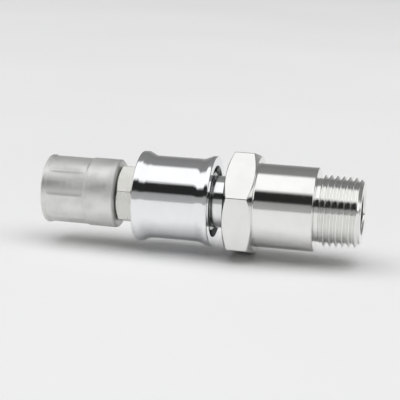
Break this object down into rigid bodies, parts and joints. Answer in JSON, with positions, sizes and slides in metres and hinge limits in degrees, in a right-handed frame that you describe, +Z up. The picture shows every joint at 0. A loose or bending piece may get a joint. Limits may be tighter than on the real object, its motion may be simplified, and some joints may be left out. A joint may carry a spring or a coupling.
{
  "type": "quick disconnect coupler",
  "caption": "Ball-locking quick disconnect coupler with a spool-shaped release sleeve, a crimped hose shank, shut-off valves and a male pipe-thread plug.",
  "frame": {"origin": "on the coupler's axis, at the shoulder where the hose stops", "axes": "+X along the axis from the hose to the pipe thread, +Z up through the first locking ball"},
  "size_m": [0.0965, 0.0318, 0.032],
  "materials": {
    "ferrule": "matte plated, warm grey",
    "tail": "satin nickel plate, slightly warm",
    "sleeve": "bright chrome plate over turning marks",
    "socket_body": "machined stainless steel",
    "plug_nose": "bright plate",
    "adapter": "bright nickel plate, slightly warm",
    "small_steel": "drawn stainless steel",
    "balls": "polished ball",
    "brass": "turned brass",
    "rubber": "moulded black rubber",
    "backup": "white fluoropolymer"
  },
  "bodies": {
    "socket": {"crimp_ferrule": "ferrule", "socket_tail": "tail", "tail_seal": "rubber", "socket_body": "socket_body", "retaining_ring": "small_steel", "socket_valve_guide": "brass", "socket_valve_spring": "small_steel", "sleeve_spring": "small_steel"},
    "spring_washer": {"sleeve_washer": "small_steel"},
    "release_sleeve": {"sleeve": "sleeve"},
    "ball_1": {"ball_1": "balls"},
    "ball_2": {"ball_2": "balls"},
    "ball_3": {"ball_3": "balls"},
    "ball_4": {"ball_4": "balls"},
    "ball_5": {"ball_5": "balls"},
    "ball_6": {"ball_6": "balls"},
    "nose_seals": {"nose_seal": "rubber", "backup_ring": "backup"},
    "plug": {"plug_nose": "plug_nose", "plug_adapter": "adapter", "plug_seal": "rubber", "plug_valve_guide": "brass", "plug_valve_spring": "small_steel"},
    "socket_valve": {"socket_valve": "brass", "socket_valve_seal": "rubber"},
    "plug_valve": {"plug_valve": "brass", "plug_valve_seal": "rubber"}
  },
  "joints": [
    {"name": "sleeve_slide", "type": "slide", "parent": "socket", "child": "spring_washer", "axis": [-1, 0, 0], "range_m": [0, 0.005], "stiffness_N_per_m": 1500, "springref_m": -0.004, "deforming": ["sleeve_spring"]},
    {"name": "sleeve_turn", "type": "hinge", "parent": "spring_washer", "child": "release_sleeve", "pos_m": [0.0197, 0, 0], "axis": [1, 0, 0], "continuous": true},
    {"name": "ball_1_lift", "type": "slide", "parent": "socket", "child": "ball_1", "axis": [0, 0, 1], "range_m": [0, 0.00095]},
    {"name": "ball_2_lift", "type": "slide", "parent": "socket", "child": "ball_2", "axis": [0, -0.866, 0.5], "range_m": [0, 0.00095]},
    {"name": "ball_3_lift", "type": "slide", "parent": "socket", "child": "ball_3", "axis": [0, -0.866, -0.5], "range_m": [0, 0.00095]},
    {"name": "ball_4_lift", "type": "slide", "parent": "socket", "child": "ball_4", "axis": [0, 0, -1], "range_m": [0, 0.00095]},
    {"name": "ball_5_lift", "type": "slide", "parent": "socket", "child": "ball_5", "axis": [0, 0.866, -0.5], "range_m": [0, 0.00095]},
    {"name": "ball_6_lift", "type": "slide", "parent": "socket", "child": "ball_6", "axis": [0, 0.866, 0.5], "range_m": [0, 0.00095]},
    {"name": "plug_release", "type": "slide", "parent": "socket", "child": "nose_seals", "axis": [1, 0, 0], "range_m": [0, 0.1]},
    {"name": "plug_swivel", "type": "hinge", "parent": "nose_seals", "child": "plug", "pos_m": [0.0193, 0, 0], "axis": [1, 0, 0], "continuous": true},
    {"name": "socket_valve_slide", "type": "slide", "parent": "socket", "child": "socket_valve", "axis": [1, 0, 0], "range_m": [0, 0.0026], "deforming": ["socket_valve_spring"]},
    {"name": "plug_valve_slide", "type": "slide", "parent": "plug", "child": "plug_valve", "axis": [-1, 0, 0], "range_m": [0, 0.0026], "deforming": ["plug_valve_spring"]}
  ],
  "couplings": [
    {"joint": "ball_1_lift", "follows": "sleeve_slide", "ratio": 0.19},
    {"joint": "ball_2_lift", "follows": "sleeve_slide", "ratio": 0.19},
    {"joint": "ball_3_lift", "follows": "sleeve_slide", "ratio": 0.19},
    {"joint": "ball_4_lift", "follows": "sleeve_slide", "ratio": 0.19},
    {"joint": "ball_5_lift", "follows": "sleeve_slide", "ratio": 0.19},
    {"joint": "ball_6_lift", "follows": "sleeve_slide", "ratio": 0.19},
    {"joint": "socket_valve_slide", "follows": "plug_release", "ratio": 0.026},
    {"joint": "plug_valve_slide", "follows": "plug_release", "ratio": 0.026}
  ]
}
